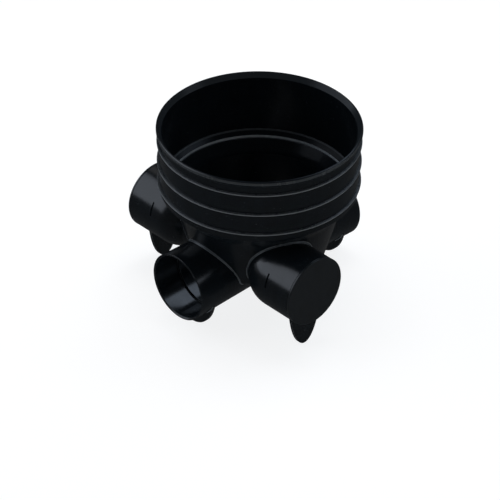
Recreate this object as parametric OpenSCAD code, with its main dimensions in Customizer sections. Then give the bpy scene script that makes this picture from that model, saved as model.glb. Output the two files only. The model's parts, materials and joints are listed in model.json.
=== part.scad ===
// Drain inspection chamber: one moulded base with a ribbed riser collar, a tapered body, a straight
// run with two open pipe sockets, two raised side inlets and four bedding feet, and a push-in
// blanking cap in each side inlet. Millimetres, +Z up, origin on the chamber's axis at foot level.
// The run lies along X and the side inlets point along Y.

/* [Riser collar] */
// Height of the collar's rim above the feet
rim_z = 316; // [300:1:340]
// Bore that the riser pipe slides into
riser_bore_d = 319; // [312:1:326]
// Wall of the collar
collar_wall = 4.5; // [3.5:0.5:6]
// Height of the collar, from its lower edge to the rim
collar_h = 115.6; // [110:0.1:122]
// Height of the flared lead-in at the rim
lead_in_h = 9.5; // [6:0.5:12]
// How far the lead-in opens the bore, on the radius
lead_in_w = 5.6; // [3:0.2:7]
// Thickness of the rim at its top
rim_land = 3.4; // [2.5:0.1:5]
// Radius of the rim's rounded outer edge
rim_edge_r = 3.2; // [1:0.1:3.2]
// Number of rings round the collar
rib_count = 3; // [1:1:3]
// Distance from the rim to the middle of the first ring
rib_first = 26.2; // [22:0.2:30]
// Spacing of the rings
rib_pitch = 37.6; // [30:0.2:40]
// How far a ring stands out of the wall
rib_h = 3.7; // [2:0.1:5]
// Thickness of a ring
rib_t = 3.6; // [2.5:0.1:5]
// Radius of a ring's rounded outer edges
rib_edge_r = 1.7; // [0.5:0.1:1.7]
// Width of the sloping seat that the riser pipe stops on
seat_w = 9; // [6:0.5:11]
// Drop of the seat from the bore to its inner edge
seat_drop = 7; // [5:0.2:9]
// Height of the upright lip at the seat's inner edge
seat_lip = 5; // [2:0.5:6]
// Depth of the flat skirt under the seat's outer end, besides the wall
seat_skirt = 1.4; // [1:0.1:3]

/* [Body] */
// Height of the flat underside above the feet
body_base_z = 71; // [64:1:74]
// Diameter of the body where its taper meets the underside
body_base_d = 221; // [210:1:228]
// Diameter of the body at the foot of its shoulder
shoulder_d = 280; // [270:1:286]
// Height of the foot of the shoulder above the feet
shoulder_z = 176; // [168:1:182]
// Wall of the body
body_wall = 4.2; // [3:0.2:5]
// Radius of the edge round the underside
base_edge_r = 12; // [8:1:18]

/* [Pipe sockets] */
// Outside diameter of the pipe that the sockets take
pipe_d = 110; // [105:1:112]
// Gap between the pipe and the socket, on the radius
pipe_gap = 0.4; // [0.2:0.1:1]
// Wall of a socket
socket_wall = 4.1; // [3:0.1:5]
// Depth of a socket, from its mouth to the pipe stop
socket_depth = 50; // [42:1:52]
// Bore of the channel behind the pipe stop
channel_d = 103; // [98:1:104]
// Wall of the channel
channel_wall = 3.8; // [3:0.1:4.5]
// Chamfer inside a socket's mouth that lets the pipe in
mouth_chamfer = 1.2; // [0.5:0.1:2]

/* [Run] */
// Height of the run's axis above the feet
run_z = 81; // [79:1:86]
// Distance from the chamber's axis to a run socket's mouth
run_reach = 182.5; // [178:0.5:190]
// Outside diameter of the run at its waist, under the chamber's axis
run_waist_d = 111; // [110:0.5:118]

/* [Side inlets] */
// Height of the side inlets' axis above the feet
side_z = 114; // [110:1:120]
// How far the side inlets lie upstream of the chamber's axis
side_offset = 59; // [50:0.5:64]
// Distance from the run's axis to a side socket's mouth
side_reach = 189.6; // [184:0.1:196]
// Distance from the pipe stop back to the centre of the round knuckle
knuckle_back = 16.6; // [12:0.2:20]
// Width of the witness groove at the knuckle
groove_w = 2.4; // [1.5:0.1:4]
// Depth of the witness groove
groove_deep = 2.6; // [1:0.1:3]
// Lower end of the witness groove, in degrees above the inlet's axis
groove_from = 8; // [0:1:15]
// Upper end of the witness groove, in degrees above the inlet's axis
groove_to = 32; // [25:1:45]

/* [Feet] */
// Thickness of a foot plate
foot_t = 5; // [3:0.5:8]
// Full width of a run foot
run_foot_w = 108; // [96:1:117]
// Height from the ground to a run foot's widest place
run_foot_h = 70; // [62:1:76]
// Distance from a run socket's mouth to its foot
run_foot_back = 30; // [20:1:36]
// Full width of a side foot
side_foot_w = 70; // [60:1:90]
// Height from the ground to a side foot's widest place
side_foot_h = 100; // [88:1:108]
// Distance from a side socket's mouth to its foot
side_foot_back = 17; // [10:1:30]

/* [Blanking caps] */
// How far the cap's flange stands past the socket, on the radius
cap_lip = 0.2; // [0:0.1:3]
// Thickness of the flange
cap_t = 3.5; // [2.5:0.1:5]
// Length of the spigot inside the socket
spigot_l = 34; // [20:1:38]
// Wall of the spigot
spigot_wall = 3; // [2:0.1:4]
// Gap between the spigot and the socket, on the radius
spigot_gap = 0.3; // [0.2:0.1:0.6]

/* [Hidden] */
$fn = 160;

black_pp = [0.085, 0.095, 0.105];
cap_pp = [0.12, 0.125, 0.13];

// Length by which a cutter runs past the face that it opens
past = 1;
// Small rounding radii of the moulding
cap_round = 1;
lip_round = 0.8;
seat_round = 3;
corner_round = 2;
shoulder_round = 30;
// Steps in a rounded corner and in a foot's outline; the second is odd, so that a foot ends in a flat
round_steps = 5;
foot_steps = 27;

bore_r = riser_bore_d / 2;
collar_r = bore_r + collar_wall;
rim_in_r = bore_r + lead_in_w;
rim_r = rim_in_r + rim_land;
collar_z = rim_z - collar_h;
seat_r = bore_r - seat_w;
seat_top_z = collar_z + collar_wall + seat_skirt;
seat_z = seat_top_z - seat_drop;
flare_z = rim_z - lead_in_h;
underside_z = seat_z - max(body_wall, seat_lip);
// A rounded edge stays within the thickness that it rounds
rim_edge = min(rim_edge_r, rim_land - 0.1);
rib_edge = min(rib_edge_r, rib_t / 2 - 0.1);

base_r = body_base_d / 2;
shoulder_r = shoulder_d / 2;
floor_z = body_base_z + body_wall;

socket_r = pipe_d / 2 + pipe_gap;
socket_out_r = socket_r + socket_wall;
channel_r = channel_d / 2;
channel_out_r = channel_r + channel_wall;
// The knuckle is a ball as wide as the socket outside, so its hollow is wider than the channel
knuckle_out_r = socket_out_r;
knuckle_in_r = knuckle_out_r - channel_wall;

side_x = -side_offset;
// Place and direction of the bend that joins a knuckle to the body
knuckle_reach = side_reach - socket_depth - knuckle_back;
knuckle_r = norm([side_offset, knuckle_reach]);
knuckle_turn = atan2(knuckle_reach, -side_offset);
// The groove runs round the socket just outside the knuckle
groove_reach = side_reach - socket_depth - groove_w / 2;

// Arc that rounds corner b of the outline a-b-c
function unit(v) = v / norm(v);
function turn(from, to) = let (d = to - from) d > 180 ? d - 360 : d < -180 ? d + 360 : d;
function corner(a, b, c, r) =
    let (
        u = unit(a - b),
        v = unit(c - b),
        half = acos(u * v) / 2,
        mid = b + unit(u + v) * r / sin(half),
        p = b + u * r / tan(half) - mid,
        q = b + v * r / tan(half) - mid,
        from = atan2(p.y, p.x),
        sweep = turn(from, atan2(q.y, q.x))
    )
    [for (i = [0:round_steps]) let (g = from + sweep * i / round_steps) mid + r * [cos(g), sin(g)]];
// Closed outline from points [x, y, radius]
function outline(points) =
    let (n = len(points), xy = [for (p = points) [p.x, p.y]])
    [for (i = [0:n - 1])
        each points[i].z == 0 ? [xy[i]] : corner(xy[(i + n - 1) % n], xy[i], xy[(i + 1) % n], points[i].z)];

module revolve(points) {
    rotate_extrude() polygon(outline(points));
}

// Rod along +X from x = from to x = to
module rod_x(r, from, to) {
    translate([from, 0, 0]) rotate([0, 90, 0]) cylinder(r = r, h = to - from);
}

// Outside of a pipe socket along +X, filled, with radius start_r at x = from and a rounded mouth at x = reach
module socket_outer(start_r, from, reach) {
    rotate([0, 90, 0]) revolve([[0, from, 0], [start_r, from, 0], [socket_out_r, reach, lip_round], [0, reach, 0]]);
}

// Inside of a pipe socket along +X, from the pipe stop to past its mouth at x = reach
module socket_inner(reach) {
    rotate([0, 90, 0]) revolve([
        [0, reach - socket_depth, 0],
        [socket_r, reach - socket_depth, 0],
        [socket_r, reach - mouth_chamfer, 0],
        [socket_r + mouth_chamfer, reach, 0],
        [socket_r + mouth_chamfer, reach + past, 0],
        [0, reach + past, 0]
    ]);
}

// Outside of the collar and the body, filled
module shell_outer() {
    revolve([
        [0, body_base_z, 0],
        [base_r, body_base_z, base_edge_r],
        [shoulder_r, shoulder_z, shoulder_round],
        [seat_r + body_wall, underside_z, 0],
        [collar_r, collar_z, corner_round],
        [collar_r, flare_z - collar_wall / 2, 0],
        [rim_r, flare_z + lead_in_w - collar_wall / 2, corner_round],
        [rim_r, rim_z, rim_edge],
        [0, rim_z, 0]
    ]);
    for (i = [0:rib_count - 1]) translate([0, 0, rim_z - rib_first - i * rib_pitch]) collar_rib();
}

// One ring round the collar, with a rounded outer edge
module collar_rib() {
    revolve([
        [collar_r - collar_wall / 2, -rib_t / 2, 0],
        [collar_r + rib_h, -rib_t / 2, rib_edge],
        [collar_r + rib_h, rib_t / 2, rib_edge],
        [collar_r - collar_wall / 2, rib_t / 2, 0]
    ]);
}

// Riser bore, seat and chamber
module shell_inner() {
    revolve([
        [0, floor_z, 0],
        [base_r - body_wall, floor_z, base_edge_r - body_wall],
        [shoulder_r - body_wall, shoulder_z, shoulder_round],
        [seat_r, seat_z - seat_lip, 0],
        [seat_r, seat_z, lip_round],
        [bore_r, seat_top_z, seat_round],
        [bore_r, flare_z, corner_round],
        [rim_in_r, rim_z, 0],
        [rim_in_r, rim_z + past, 0],
        [0, rim_z + past, 0]
    ]);
}

// The straight run: a socket at each end, narrowing a little towards the chamber's axis, filled
module run_outer() {
    translate([0, 0, run_z]) for (side = [0, 1]) mirror([side, 0, 0]) socket_outer(run_waist_d / 2, 0, run_reach);
}

module run_bore() {
    translate([0, 0, run_z]) {
        rod_x(channel_r, -run_reach + socket_depth - past, run_reach - socket_depth + past);
        for (side = [0, 1]) mirror([side, 0, 0]) socket_inner(run_reach);
    }
}

// A side inlet on +Y, filled: socket, round knuckle and the neck that turns into the body
module side_outer() {
    translate([side_x, 0, side_z]) {
        translate([0, knuckle_reach, 0]) sphere(r = knuckle_out_r);
        rotate([0, 0, 90]) socket_outer(socket_out_r, knuckle_reach, side_reach);
    }
    translate([0, 0, side_z]) rotate([0, 0, knuckle_turn]) rod_x(channel_out_r, 0, knuckle_r);
}

module side_bore() {
    translate([side_x, 0, side_z]) {
        translate([0, knuckle_reach, 0]) sphere(r = knuckle_in_r);
        rotate([0, 0, 90]) {
            rod_x(channel_r, knuckle_reach, side_reach - socket_depth + past);
            socket_inner(side_reach);
        }
    }
    translate([0, 0, side_z]) rotate([0, 0, knuckle_turn]) rod_x(channel_r, 0, knuckle_r);
}

// Shallow groove round part of a side socket, on its upstream face
module side_groove() {
    translate([side_x, groove_reach, side_z]) rotate([90, 0, 0])
        rotate([0, 0, 180 - groove_to]) rotate_extrude(angle = groove_to - groove_from)
            translate([socket_out_r - groove_deep, -groove_w / 2])
                square([groove_deep + past, groove_w]);
}

// A foot plate under a socket: half an oval with a flat tip, in the YZ plane, reaching in from x = reach
module foot(width, height, reach) {
    step = 180 / foot_steps;
    half_oval = [for (i = [0:foot_steps]) let (g = 180 + i * step)
        [width / 2 * cos(g), height * (1 + sin(g) / cos(step / 2))]];
    translate([reach - foot_t, 0, 0]) rotate([90, 0, 90]) linear_extrude(foot_t) polygon(half_oval);
}

module feet() {
    for (side = [0, 1]) mirror([side, 0, 0]) foot(run_foot_w, run_foot_h, run_reach - run_foot_back);
    for (side = [0, 1]) mirror([0, side, 0]) translate([side_x, 0, 0]) rotate([0, 0, 90])
        foot(side_foot_w, side_foot_h, side_reach - side_foot_back);
}

// The whole moulded base
module chamber_base() {
    color(black_pp) difference() {
        union() {
            shell_outer();
            run_outer();
            for (side = [0, 1]) mirror([0, side, 0]) side_outer();
            feet();
        }
        shell_inner();
        run_bore();
        for (side = [0, 1]) mirror([0, side, 0]) {
            side_bore();
            side_groove();
        }
    }
}

// Push-in blanking cap for the side inlet on +Y: a flat flange on a hollow spigot
module blanking_cap() {
    spigot_r = socket_r - spigot_gap;
    color(cap_pp) translate([side_x, side_reach, side_z]) rotate([-90, 0, 0]) revolve([
        [0, 0, 0],
        [spigot_r - spigot_wall, 0, corner_round],
        [spigot_r - spigot_wall, -spigot_l, 0],
        [spigot_r - cap_round / 2, -spigot_l, 0],
        [spigot_r, -spigot_l + corner_round, 0],
        [spigot_r, 0, 0],
        [socket_out_r + cap_lip, 0, cap_round / 2],
        [socket_out_r + cap_lip, cap_t, cap_round],
        [0, cap_t, 0]
    ]);
}

module cap_left() {
    blanking_cap();
}

module cap_right() {
    mirror([0, 1, 0]) blanking_cap();
}

chamber_base();
cap_left();
cap_right();
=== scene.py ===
import json
import math

import bmesh
import bpy
from mathutils import Matrix, Vector


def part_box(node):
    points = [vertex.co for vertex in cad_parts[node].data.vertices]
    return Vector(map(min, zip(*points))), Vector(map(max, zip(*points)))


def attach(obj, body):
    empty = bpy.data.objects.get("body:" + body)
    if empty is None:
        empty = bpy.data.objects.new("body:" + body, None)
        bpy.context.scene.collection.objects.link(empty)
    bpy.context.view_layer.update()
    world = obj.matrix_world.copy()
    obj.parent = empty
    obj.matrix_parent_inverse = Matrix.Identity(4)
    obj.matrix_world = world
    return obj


MM = 0.001

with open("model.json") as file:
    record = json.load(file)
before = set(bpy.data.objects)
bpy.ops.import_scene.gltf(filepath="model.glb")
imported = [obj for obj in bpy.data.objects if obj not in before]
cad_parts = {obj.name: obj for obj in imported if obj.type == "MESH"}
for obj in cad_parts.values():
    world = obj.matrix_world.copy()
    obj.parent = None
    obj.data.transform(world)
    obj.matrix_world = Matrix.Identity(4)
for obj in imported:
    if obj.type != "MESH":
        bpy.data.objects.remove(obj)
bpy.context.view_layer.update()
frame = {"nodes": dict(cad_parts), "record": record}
mounts = {m["name"]: m for m in frame["record"]["mounts"]}


# ---------- colour, nodes and meshes ----------

def linear(hex_colour):
    """sRGB hex value as a linear RGBA colour."""
    channels = [int(hex_colour[i:i + 2], 16) / 255 for i in (1, 3, 5)]
    return (*(c / 12.92 if c <= 0.04045 else ((c + 0.055) / 1.055) ** 2.4 for c in channels), 1.0)


def add_node(tree, kind, inputs=None, **settings):
    """Adds a node; an input takes a value, a node's output, or a node, for its first output."""
    node = tree.nodes.new(kind)
    for name, value in settings.items():
        setattr(node, name, value)
    for name, value in (inputs or {}).items():
        if isinstance(value, bpy.types.Node):
            value = value.outputs[0]
        if isinstance(value, bpy.types.NodeSocket):
            tree.links.new(value, node.inputs[name])
        else:
            node.inputs[name].default_value = value
    return node


def new_material(name):
    material = bpy.data.materials.new(name)
    material.use_nodes = True
    material.node_tree.nodes.clear()
    return material, material.node_tree


def new_piece(name, mesh, material):
    """Makes an object from a bmesh, in place, and gives it its material."""
    piece = bpy.data.objects.new(name, bpy.data.meshes.new(name))
    mesh.to_mesh(piece.data)
    mesh.free()
    piece.data.materials.append(material)
    bpy.context.scene.collection.objects.link(piece)
    return piece


# ---------- materials ----------

# Colour sockets of a Mix node.
MIX_A, MIX_B, MIX_RESULT = 6, 7, 2
PP_IOR = 1.49
# The skin's patterns: size of a spot, how much finer detail it holds, and its stretch along x, y
# and z. The real grain is about 0.1 mm, and is drawn coarser, so that it shows.
SKIN = {
    "grain": (0.7 * MM, 3.0, (1, 1, 1)),
    "cloud": (24 * MM, 4.0, (1, 1, 1)),
    "flow": (6 * MM, 2.0, (1, 1, 14)),
    "scratch": (1.6 * MM, 1.0, (1, 5, 1)),
    "patch": (30 * MM, 2.0, (1, 1, 1)),
}
# Values of a pattern between which an effect fades in.
FADES = {
    "edge wear": {"From Min": 0.3, "From Max": 0.55},
    "scuffed patch": {"From Min": 0.5, "From Max": 0.62},
    "scratch": {"From Min": 0.71, "From Max": 0.78},
    "deeper colour": {"From Min": 0.8, "From Max": 1.25},
    "gloss": {"From Min": 0.3, "From Max": 0.7},
    # The rings' painted highlight.
    "ring highlight": {"From Min": 0.3, "From Max": 0.7},
}
# An edge is where rounding by this radius would turn the surface: its pale, which is wear and in
# part a painted highlight, starts at the first cosine of that turn, and is full at the second.
EDGE_R, EDGE_SAMPLES, TURN_STARTS, TURN_FULL = 0.9 * MM, 6, 0.98, 0.8
# Share of an edge that is painted pale, as wear and as a highlight along it, where it is sheltered
# and where it is exposed, share of a scuff, and share of a ring's painted highlight that is left in
# its thinnest places.
SHELTERED_WEAR, EXPOSED_WEAR, SCUFF_WEAR, THINNEST_RING_HIGHLIGHT = 0.12, 0.32, 0.12, 0.8
# Share of the deeper colour at most.
DEEPEST = 0.5
# Roughness that clouds take away or add, and that full rubbing adds.
CLOUD_GLOSSIER, CLOUD_DULLER, RUBBED_DULLER = 0.025, 0.035, 0.65
# The skin's relief: its height, how strongly it shows, and how much flow marks outdo grain.
RELIEF_HEIGHT, RELIEF_STRENGTH, FLOW_RELIEF = 0.02 * MM, 0.12, 2.0

# Rings round the chamber's axis that are painted pale as highlight lines, in place of the light
# that their edges and faces catch: inner and outer radius, lowest and highest point, in
# millimetres, and the share of the pale colour.
PAINTED_HIGHLIGHT_RINGS = [
    (166.6, 169.5, 309.4, 314.4, 0.083),  # the rim's outer face
    (159.7, 165.4, 306.6, 315.6, 0.032),  # the lead-in of its bore
    (164.6, 166.9, 290.9, 292.0, 0.12),  # the tops of the three rings
    (164.6, 166.9, 253.3, 254.4, 0.12),
    (164.6, 166.9, 215.7, 216.8, 0.12),
    (166.9, 168.2, 288.2, 290.9, 0.285),  # their outer faces
    (166.9, 168.2, 250.6, 253.3, 0.285),
    (166.9, 168.2, 213.0, 215.7, 0.285),
    (157.2, 160.2, 203.9, 207.2, 0.11),  # the seat's outer corner
    (150.2, 151.0, 194.4, 199.2, 1.0),  # the lip at its inner edge
]
# Where silt dries to a dull film: the seat and the throat under it, out to the wall.
SILT_LOW, SILT_HIGH, SILT_R = 172 * MM, 208 * MM, 159.2 * MM
# Where grime stays: the witness grooves of the two side inlets.
GROOVE_Y, GRIME_HALF, GRIME_LOW, GRIME_HIGH = 138.4 * MM, 1.6 * MM, 121.5 * MM, 146 * MM
GRIME_X = -62 * MM
# Where the saw and the deburring knife leave the rim matt: its top and the lead-in of its bore.
RIM_CUT_R, RIM_CUT_Z = 166.9 * MM, 306 * MM
# Specular level of clean polypropylene, its share under silt and grime, and how far a cut
# takes it there.
GLOSS, DIRT_GLOSS, CUT_DULLING = 0.5, 0.12, 0.85


def highlight_ring_share(tree, radius, z):
    """Share of painted highlight in the rings that the table of highlight rings lists."""
    share = 0.0
    for inner, outer, low, high, amount in PAINTED_HIGHLIGHT_RINGS:
        across = add_node(
            tree, "ShaderNodeMath",
            {0: radius, 1: (inner + outer) / 2 * MM, 2: (outer - inner) / 2 * MM},
            operation="COMPARE")
        up = add_node(
            tree, "ShaderNodeMath",
            {0: z, 1: (low + high) / 2 * MM, 2: (high - low) / 2 * MM}, operation="COMPARE")
        ring = add_node(tree, "ShaderNodeMath", {0: across, 1: up}, operation="MULTIPLY")
        share = add_node(
            tree, "ShaderNodeMath", {0: ring, 1: amount, 2: share}, operation="MULTIPLY_ADD")
    return share


def silt_and_grime(tree, flat, normal, radius, x, y, z):
    """1 in the silt film and in the grooves' grime, 0 elsewhere."""
    outward = add_node(tree, "ShaderNodeVectorMath", {0: flat, 1: normal}, operation="DOT_PRODUCT")
    inward = add_node(
        tree, "ShaderNodeMath", {0: outward.outputs["Value"], 1: 0.0}, operation="LESS_THAN")
    within = add_node(tree, "ShaderNodeMath", {0: radius, 1: SILT_R}, operation="LESS_THAN")
    level = add_node(
        tree, "ShaderNodeMath",
        {0: z, 1: (SILT_LOW + SILT_HIGH) / 2, 2: (SILT_HIGH - SILT_LOW) / 2}, operation="COMPARE")
    throat = add_node(tree, "ShaderNodeMath", {0: inward, 1: within}, operation="MULTIPLY")
    silt = add_node(tree, "ShaderNodeMath", {0: throat, 1: level}, operation="MULTIPLY")
    side = add_node(tree, "ShaderNodeMath", {0: y}, operation="ABSOLUTE")
    groove = add_node(
        tree, "ShaderNodeMath", {0: side, 1: GROOVE_Y, 2: GRIME_HALF}, operation="COMPARE")
    height = add_node(
        tree, "ShaderNodeMath",
        {0: z, 1: (GRIME_LOW + GRIME_HIGH) / 2, 2: (GRIME_HIGH - GRIME_LOW) / 2},
        operation="COMPARE")
    front = add_node(tree, "ShaderNodeMath", {0: x, 1: GRIME_X}, operation="LESS_THAN")
    arc = add_node(tree, "ShaderNodeMath", {0: height, 1: front}, operation="MULTIPLY")
    return add_node(tree, "ShaderNodeMath", {0: groove, 1: arc, 2: silt}, operation="MULTIPLY_ADD")


def base_marks(tree, place, normal, flow, wear_and_highlight):
    """Adds the base's rings, painted pale as highlight lines, to its pale edges of wear and painted
    highlight, and says how dull dirt and cuts leave it.
    """
    split = add_node(tree, "ShaderNodeSeparateXYZ", {"Vector": place})
    x, y, z = (split.outputs[axis] for axis in "XYZ")
    flat = add_node(tree, "ShaderNodeVectorMath", {0: place, 1: (1, 1, 0)}, operation="MULTIPLY")
    radius = add_node(tree, "ShaderNodeVectorMath", {0: flat}, operation="LENGTH").outputs["Value"]
    dirt = silt_and_grime(tree, flat, normal, radius, x, y, z)
    near = add_node(tree, "ShaderNodeMath", {0: radius, 1: RIM_CUT_R}, operation="LESS_THAN")
    high = add_node(tree, "ShaderNodeMath", {0: z, 1: RIM_CUT_Z}, operation="GREATER_THAN")
    rim_cut = add_node(tree, "ShaderNodeMath", {0: near, 1: high}, operation="MULTIPLY")
    dull = add_node(
        tree, "ShaderNodeMath", {0: rim_cut, 1: CUT_DULLING, 2: dirt}, operation="MULTIPLY_ADD")
    unworn = add_node(tree, "ShaderNodeMath", {0: rim_cut, 1: dirt}, operation="ADD")
    left = add_node(tree, "ShaderNodeMath", {0: 1.0, 1: unworn}, operation="SUBTRACT")
    edges = add_node(tree, "ShaderNodeMath", {0: wear_and_highlight, 1: left}, operation="MULTIPLY")
    # The rings' painted highlight, a little thinner where flow marks are.
    patchy = add_node(
        tree, "ShaderNodeMapRange",
        {"Value": flow, **FADES["ring highlight"], "To Min": THINNEST_RING_HIGHLIGHT, "To Max": 1.0})
    rings = add_node(
        tree, "ShaderNodeMath", {0: highlight_ring_share(tree, radius, z), 1: patchy}, operation="MULTIPLY")
    return add_node(tree, "ShaderNodeMath", {0: edges, 1: rings}, operation="MAXIMUM"), dull


def moulded_polypropylene(name, colour, deeper, paler, roughness, is_base=False):
    """Injection-moulded polypropylene: one colour through and through, with a satin skin.

    The eye sees a fine grain, faint upright flow marks, cloudy changes of gloss and small scuffs.
    Edges are rubbed paler and duller, and their pale is in part a painted highlight; the base's
    rings and the lip of its seat are painted pale and duller as highlight lines.
    """
    material, tree = new_material(name)
    place = add_node(tree, "ShaderNodeTexCoord").outputs["Object"]
    skin = {}
    for pattern, (size, detail, stretch) in SKIN.items():
        spread = add_node(
            tree, "ShaderNodeMapping",
            {"Vector": place, "Scale": [1 / (size * s) for s in stretch]})
        skin[pattern] = add_node(
            tree, "ShaderNodeTexNoise", {"Vector": spread, "Scale": 1.0, "Detail": detail})

    # The pale on edges is wear, and in part a painted highlight along the edges.
    rounded = add_node(tree, "ShaderNodeBevel", {"Radius": EDGE_R}, samples=EDGE_SAMPLES)
    normal = add_node(tree, "ShaderNodeNewGeometry").outputs["Normal"]
    turned = add_node(
        tree, "ShaderNodeVectorMath", {0: rounded, 1: normal}, operation="DOT_PRODUCT")
    exposed = add_node(
        tree, "ShaderNodeMapRange",
        {"Value": skin["cloud"], **FADES["edge wear"], "To Min": SHELTERED_WEAR,
         "To Max": EXPOSED_WEAR})
    wear_and_highlight = add_node(
        tree, "ShaderNodeMapRange",
        {"Value": turned.outputs["Value"], "From Min": TURN_STARTS, "From Max": TURN_FULL,
         "To Max": exposed},
        interpolation_type="SMOOTHSTEP")
    if is_base:
        wear_and_highlight, dull = base_marks(tree, place, normal, skin["flow"], wear_and_highlight)
    scuffed = add_node(
        tree, "ShaderNodeMapRange",
        {"Value": skin["patch"], **FADES["scuffed patch"], "To Max": SCUFF_WEAR})
    scuffs = add_node(
        tree, "ShaderNodeMapRange",
        {"Value": skin["scratch"], **FADES["scratch"], "To Max": scuffed})
    wear_and_highlight = add_node(tree, "ShaderNodeMath", {0: wear_and_highlight, 1: scuffs}, operation="MAXIMUM")

    streaks = add_node(tree, "ShaderNodeMath", {0: skin["cloud"], 1: skin["flow"]}, operation="ADD")
    deep = add_node(
        tree, "ShaderNodeMapRange", {"Value": streaks, **FADES["deeper colour"], "To Max": DEEPEST})
    body = add_node(
        tree, "ShaderNodeMix", {"Factor": deep, MIX_A: linear(colour), MIX_B: linear(deeper)},
        data_type="RGBA")
    tone = add_node(
        tree, "ShaderNodeMix",
        {"Factor": wear_and_highlight, MIX_A: body.outputs[MIX_RESULT], MIX_B: linear(paler)}, data_type="RGBA")
    satin = add_node(
        tree, "ShaderNodeMapRange",
        {"Value": skin["cloud"], **FADES["gloss"], "To Min": roughness - CLOUD_GLOSSIER,
         "To Max": roughness + CLOUD_DULLER})
    dulled = add_node(
        tree, "ShaderNodeMath", {0: wear_and_highlight, 1: RUBBED_DULLER, 2: satin}, operation="MULTIPLY_ADD")
    relief = add_node(
        tree, "ShaderNodeMath", {0: skin["flow"], 1: FLOW_RELIEF, 2: skin["grain"]},
        operation="MULTIPLY_ADD")
    bump = add_node(
        tree, "ShaderNodeBump",
        {"Height": relief, "Strength": RELIEF_STRENGTH, "Distance": RELIEF_HEIGHT})
    shader = add_node(
        tree, "ShaderNodeBsdfPrincipled",
        {"Base Color": tone.outputs[MIX_RESULT], "Roughness": dulled, "Normal": bump,
         "IOR": PP_IOR, "Specular IOR Level": GLOSS})
    if is_base:
        gloss = add_node(
            tree, "ShaderNodeMapRange",
            {"Value": dull, "To Min": GLOSS, "To Max": GLOSS * DIRT_GLOSS})
        tree.links.new(gloss.outputs["Result"], shader.inputs["Specular IOR Level"])
    add_node(tree, "ShaderNodeOutputMaterial", {"Surface": shader})
    return material


# Black polypropylene from a satin tool: long soft highlights, pale edges that are worn and partly a
# painted highlight, and rings and a seat lip painted pale as highlight lines.
base_moulding = moulded_polypropylene(
    "black_moulded_polypropylene", "#0c1115", "#07090b", "#9ca3a8", 0.21, is_base=True)
# The same moulding in its inner corners, painted grey as a highlight: a thin pale line round each
# stub, in place of the light that the fillets catch.
fillet_painted_highlight = moulded_polypropylene(
    "fillet_painted_highlight_polypropylene", "#3c4145", "#2a2e31", "#687075", 0.25)
# Dark grey polypropylene from a flatter tool: a cap reads as an even disc beside the black base.
cap_moulding = moulded_polypropylene(
    "cap_moulded_polypropylene", "#15191c", "#0f1113", "#4b5155", 0.3)

mouldings = {"chamber_base": base_moulding, "cap_left": cap_moulding, "cap_right": cap_moulding}
for name, material in mouldings.items():
    node = frame["nodes"][name]
    node.data.materials.clear()
    node.data.materials.append(material)


# ---------- fillets where the stubs and feet leave the body ----------

FILLET_STEPS = 7
BODY_FILLET_R, FOOT_FILLET_R = 2.5 * MM, 1.2 * MM
# How deep a fillet's root lies in the corner that it fills, and the sharpest corner that it
# follows, as the cosine between the two sides' normals.
ROOT_DEPTH, SHARPEST = 0.2 * MM, -0.4
# Inner corners that turn by less, and runs that are shorter, stay as they are.
LEAST_TURN, LEAST_RUN = math.radians(28), 6 * MM
# Faces that turn by less are shaded as one surface.
SMOOTH_TURN = math.radians(40)
# The collar's underside, the inside of the run's mouths and the witness grooves are left sharp.
COLLAR_Z = 199 * MM
MOUTH_X, MOUTH_R = 131 * MM, 57 * MM
GROOVE_CLEAR = 2.5 * MM
# Beyond these, the corners are those of the foot plates.
FOOT_X, FOOT_Y = 146 * MM, 166 * MM
# Corners of triangles that are nearer than this are one.
JOIN = 0.002 * MM


def merged_copy(node):
    """The node's mesh as a bmesh with joined corners, and the layer of its smooth normals."""
    copy = node.data.copy()
    normals = copy.attributes.new("smooth", "FLOAT_VECTOR", "CORNER")
    normals.data.foreach_set("vector", [c for n in copy.corner_normals for c in n.vector])
    mesh = bmesh.new()
    mesh.from_mesh(copy)
    bpy.data.meshes.remove(copy)
    bmesh.ops.remove_doubles(mesh, verts=mesh.verts, dist=JOIN)
    return mesh, mesh.loops.layers.float_vector["smooth"]


def runs_of(edges):
    """Orders edges into runs of vertices that end where the runs meet."""
    at = {}
    for e in edges:
        for v in e.verts:
            at.setdefault(v, []).append(e)
    ends = [v for v in at if len(at[v]) != 2]
    left, found = set(edges), []
    for start in ends + list(at):
        for first in at[start]:
            if first not in left:
                continue
            run, edge = [start], first
            while edge in left:
                left.discard(edge)
                run.append(edge.other_vert(run[-1]))
                if len(at[run[-1]]) != 2:
                    break
                edge = next((e for e in at[run[-1]] if e in left), edge)
            found.append(run)
    return found


def side_normals(run, layer):
    """The normals of the two surfaces along a run of edges, at each of its vertices."""
    sums = [[Vector(), Vector()] for _ in run]
    for i in range(len(run) - 1):
        edge = next(e for e in run[i].link_edges if e.other_vert(run[i]) is run[i + 1])
        for loop in edge.link_loops:
            k = 0 if loop.vert is run[i] else 1
            here, there = (i, i + 1) if k == 0 else (i + 1, i)
            sums[here][k] += loop[layer]
            sums[there][k] += loop.link_loop_next[layer]
    if run[0] is run[-1]:
        for k in (0, 1):
            sums[0][k] = sums[-1][k] = sums[0][k] + sums[-1][k]
    return [(a.normalized(), b.normalized()) for a, b in sums]


def section(corner, a, b, radius):
    """The fillet's outline across a corner between surfaces with normals a and b."""
    centre = corner + (a + b) * radius / (1 + max(a.dot(b), SHARPEST))
    arc = [centre - a.slerp(b, i / FILLET_STEPS) * radius for i in range(FILLET_STEPS + 1)]
    return arc + [corner - (a + b) * ROOT_DEPTH]


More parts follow.
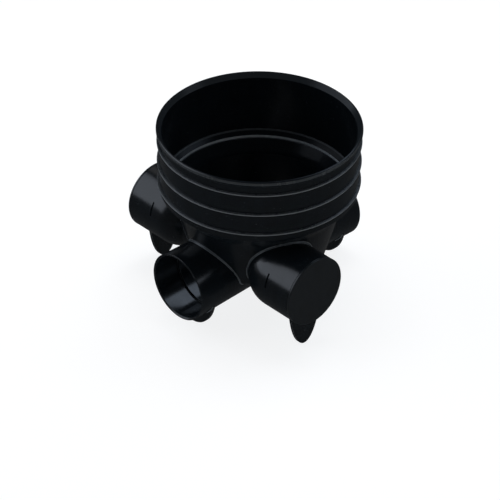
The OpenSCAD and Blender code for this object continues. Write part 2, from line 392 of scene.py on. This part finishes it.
def add_fillet(mesh, run, layer, radius):
    """Sweeps the outline along a run of edges, by extruding its edges one step at a time."""
    sides = side_normals(run, layer)
    length = sum((a.co - b.co).length for a, b in zip(run, run[1:]))
    if length < LEAST_RUN or max(a.angle(b) for a, b in sides) < LEAST_TURN:
        return
    outlines = [section(v.co, a, b, radius) for v, (a, b) in zip(run, sides)]
    first = ring = [mesh.verts.new(p) for p in outlines[0]]
    edges = [mesh.edges.new(pair) for pair in zip(ring, ring[1:] + ring[:1])]
    for outline in outlines[1:]:
        grown = bmesh.ops.extrude_edge_only(mesh, edges=edges)["geom"]
        new = {part for part in grown if isinstance(part, bmesh.types.BMVert)}
        ring = [next(e.other_vert(v) for e in v.link_edges if e.other_vert(v) in new)
                for v in ring]
        for v, p in zip(ring, outline):
            v.co = p
        edges = [mesh.edges.get(pair) for pair in zip(ring, ring[1:] + ring[:1])]
    if run[0] is run[-1]:
        bmesh.ops.remove_doubles(mesh, verts=first + ring, dist=JOIN)
    else:
        mesh.faces.new(first)
        mesh.faces.new(ring)


def left_sharp(mid, run_z):
    """Whether the corner at this point gets no fillet."""
    in_mouth = abs(mid.x) > MOUTH_X and math.hypot(mid.y, mid.z - run_z) < MOUTH_R
    return mid.z > COLLAR_Z or in_mouth or abs(abs(mid.y) - GROOVE_Y) < GROOVE_CLEAR


def fillets():
    """The fillets that the mould leaves in the base's inner corners, as one piece."""
    source, layer = merged_copy(frame["nodes"]["chamber_base"])
    run_z = mounts["outlet_socket"]["pos_m"][2]
    body, feet = [], []
    for edge in source.edges:
        if len(edge.link_faces) != 2 or edge.calc_face_angle_signed() > -LEAST_TURN:
            continue
        mid = (edge.verts[0].co + edge.verts[1].co) / 2
        if not left_sharp(mid, run_z):
            (feet if abs(mid.x) > FOOT_X or abs(mid.y) > FOOT_Y else body).append(edge)
    mesh = bmesh.new()
    for edges, radius in ((body, BODY_FILLET_R), (feet, FOOT_FILLET_R)):
        for run in runs_of(edges):
            add_fillet(mesh, run, layer, radius)
    source.free()
    bmesh.ops.recalc_face_normals(mesh, faces=mesh.faces)
    for face in mesh.faces:
        face.smooth = len(face.verts) == 4
    for edge in mesh.edges:
        edge.smooth = len(edge.link_faces) == 2 and edge.calc_face_angle(0) < SMOOTH_TURN
    # The fillets' grey is a painted highlight.
    piece = new_piece("moulded_fillets", mesh, fillet_painted_highlight)
    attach(piece, "root")


fillets()


# ---------- floor and backdrop ----------

# Half the floor's width and the dome's radius in metres, and the dome's faces round and up.
FLOOR_HALF, BACKDROP_R, BACKDROP_ROUND, BACKDROP_UP = 6, 9, 48, 24
OPAL_ROUGHNESS, OPAL_GLOW = 0.9, 0.92


def studio():
    """A floor and, past its edge, a dome, of opal acrylic sheet that is lit from behind.

    The sheet reads as an even pale grey with no highlight. The floor lights the chamber from
    below, and neither piece shows in its gloss.
    """
    material, tree = new_material("backlit_opal_acrylic")
    shader = add_node(
        tree, "ShaderNodeBsdfPrincipled",
        {"Base Color": linear("#8a8886"), "Roughness": OPAL_ROUGHNESS, "Specular IOR Level": 0.0,
         "Emission Color": linear("#f4f5f6"), "Emission Strength": OPAL_GLOW})
    add_node(tree, "ShaderNodeOutputMaterial", {"Surface": shader})
    plane, dome = bmesh.new(), bmesh.new()
    bmesh.ops.create_grid(plane, x_segments=1, y_segments=1, size=FLOOR_HALF)
    bmesh.ops.create_uvsphere(
        dome, u_segments=BACKDROP_ROUND, v_segments=BACKDROP_UP, radius=BACKDROP_R)
    floor, backdrop = new_piece("floor", plane, material), new_piece("backdrop", dome, material)
    for piece in (floor, backdrop):
        piece.visible_glossy = False
    backdrop.visible_diffuse = False
    backdrop.visible_shadow = False


studio()


# ---------- camera ----------

# The way from the chamber to the camera, round its axis and above the level, and the roll.
VIEW_FROM, VIEW_DOWN = math.radians(-133.79), math.radians(35.4947)
VIEW_ROLL = math.radians(0.4171)
# The middle of the picture, from the middle of the rim, and how far off the camera is.
AIM_LEFT, AIM_BELOW, CAMERA_DISTANCE = 14.06 * MM, 202.757 * MM, 4187.5 * MM
# Sensor width and focal length in millimetres, and how far the camera sees, in metres.
SENSOR, LENS, FARTHEST = 36, 186.07, 40


def add_camera():
    """The main view, through a long lens that looks down at the chamber."""
    back = Vector((math.cos(VIEW_FROM), math.sin(VIEW_FROM), 0))
    across = Vector((-math.sin(VIEW_FROM), math.cos(VIEW_FROM), 0))
    ahead = -back * math.cos(VIEW_DOWN) - Vector((0, 0, math.sin(VIEW_DOWN)))
    above = across.cross(ahead)
    aim = Vector((0, 0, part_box("chamber_base")[1].z)) - AIM_LEFT * across - AIM_BELOW * above
    camera = bpy.data.objects.new("camera", bpy.data.cameras.new("camera"))
    bpy.context.scene.collection.objects.link(camera)
    camera.data.sensor_width = SENSOR
    camera.data.lens = LENS
    camera.data.clip_end = FARTHEST
    right = across * math.cos(VIEW_ROLL) + above * math.sin(VIEW_ROLL)
    top = above * math.cos(VIEW_ROLL) - across * math.sin(VIEW_ROLL)
    place = Matrix((right, top, -ahead)).transposed().to_4x4()
    place.translation = aim - ahead * CAMERA_DISTANCE
    camera.matrix_world = place
    bpy.context.scene.camera = camera


add_camera()


# ---------- lights ----------

# How far the lights stand from the point that they face, in metres.
LIGHT_DISTANCE = 2.5
LIT_POINT = Vector((0, 0, 0.15))
# Strength of the light that comes from everywhere.
AMBIENT = 0.05


def softbox(name, azimuth, elevation, width, height, radiance, colour="#ffffff", reflected=True):
    """A rectangular light that faces the chamber, sized in metres.

    Azimuth and elevation are in degrees: 0 and 0 is level, on the camera's side.
    """
    light = bpy.data.objects.new(name, bpy.data.lights.new(name, "AREA"))
    bpy.context.scene.collection.objects.link(light)
    light.data.shape = "RECTANGLE"
    light.data.size = width
    light.data.size_y = height
    light.data.energy = radiance * math.pi * width * height
    light.data.color = linear(colour)[:3]
    light.visible_glossy = reflected
    turn, rise = VIEW_FROM + math.radians(azimuth), math.radians(elevation)
    out = Vector((
        math.cos(turn) * math.cos(rise), math.sin(turn) * math.cos(rise), math.sin(rise)))
    light.location = LIT_POINT + out * LIGHT_DISTANCE
    light.rotation_euler = out.to_track_quat("Z", "Y").to_euler()


softbox("key", -97, 29, 2.6, 2.3, 1.6, "#e8f1ff")
softbox("right", 81, 19, 1.0, 0.7, 1.1, "#e4efff")
softbox("rear_right", 130, 50, 2.2, 1.1, 2.2, "#d8e9ff")
softbox("rear", -165, 45, 1.2, 0.6, 0.4)
# Fill lights that lift the faces without showing in their gloss.
softbox("front_fill", 32, 25, 2.4, 0.6, 2.6, reflected=False)
softbox("overhead_fill", 180, 76, 1.6, 1.2, 4, reflected=False)

world = bpy.data.worlds.new("studio")
bpy.context.scene.world = world
world.use_nodes = True
world.node_tree.nodes["Background"].inputs["Color"].default_value = linear("#ffffff")
world.node_tree.nodes["Background"].inputs["Strength"].default_value = AMBIENT
bpy.context.scene.view_settings.view_transform = "Standard"
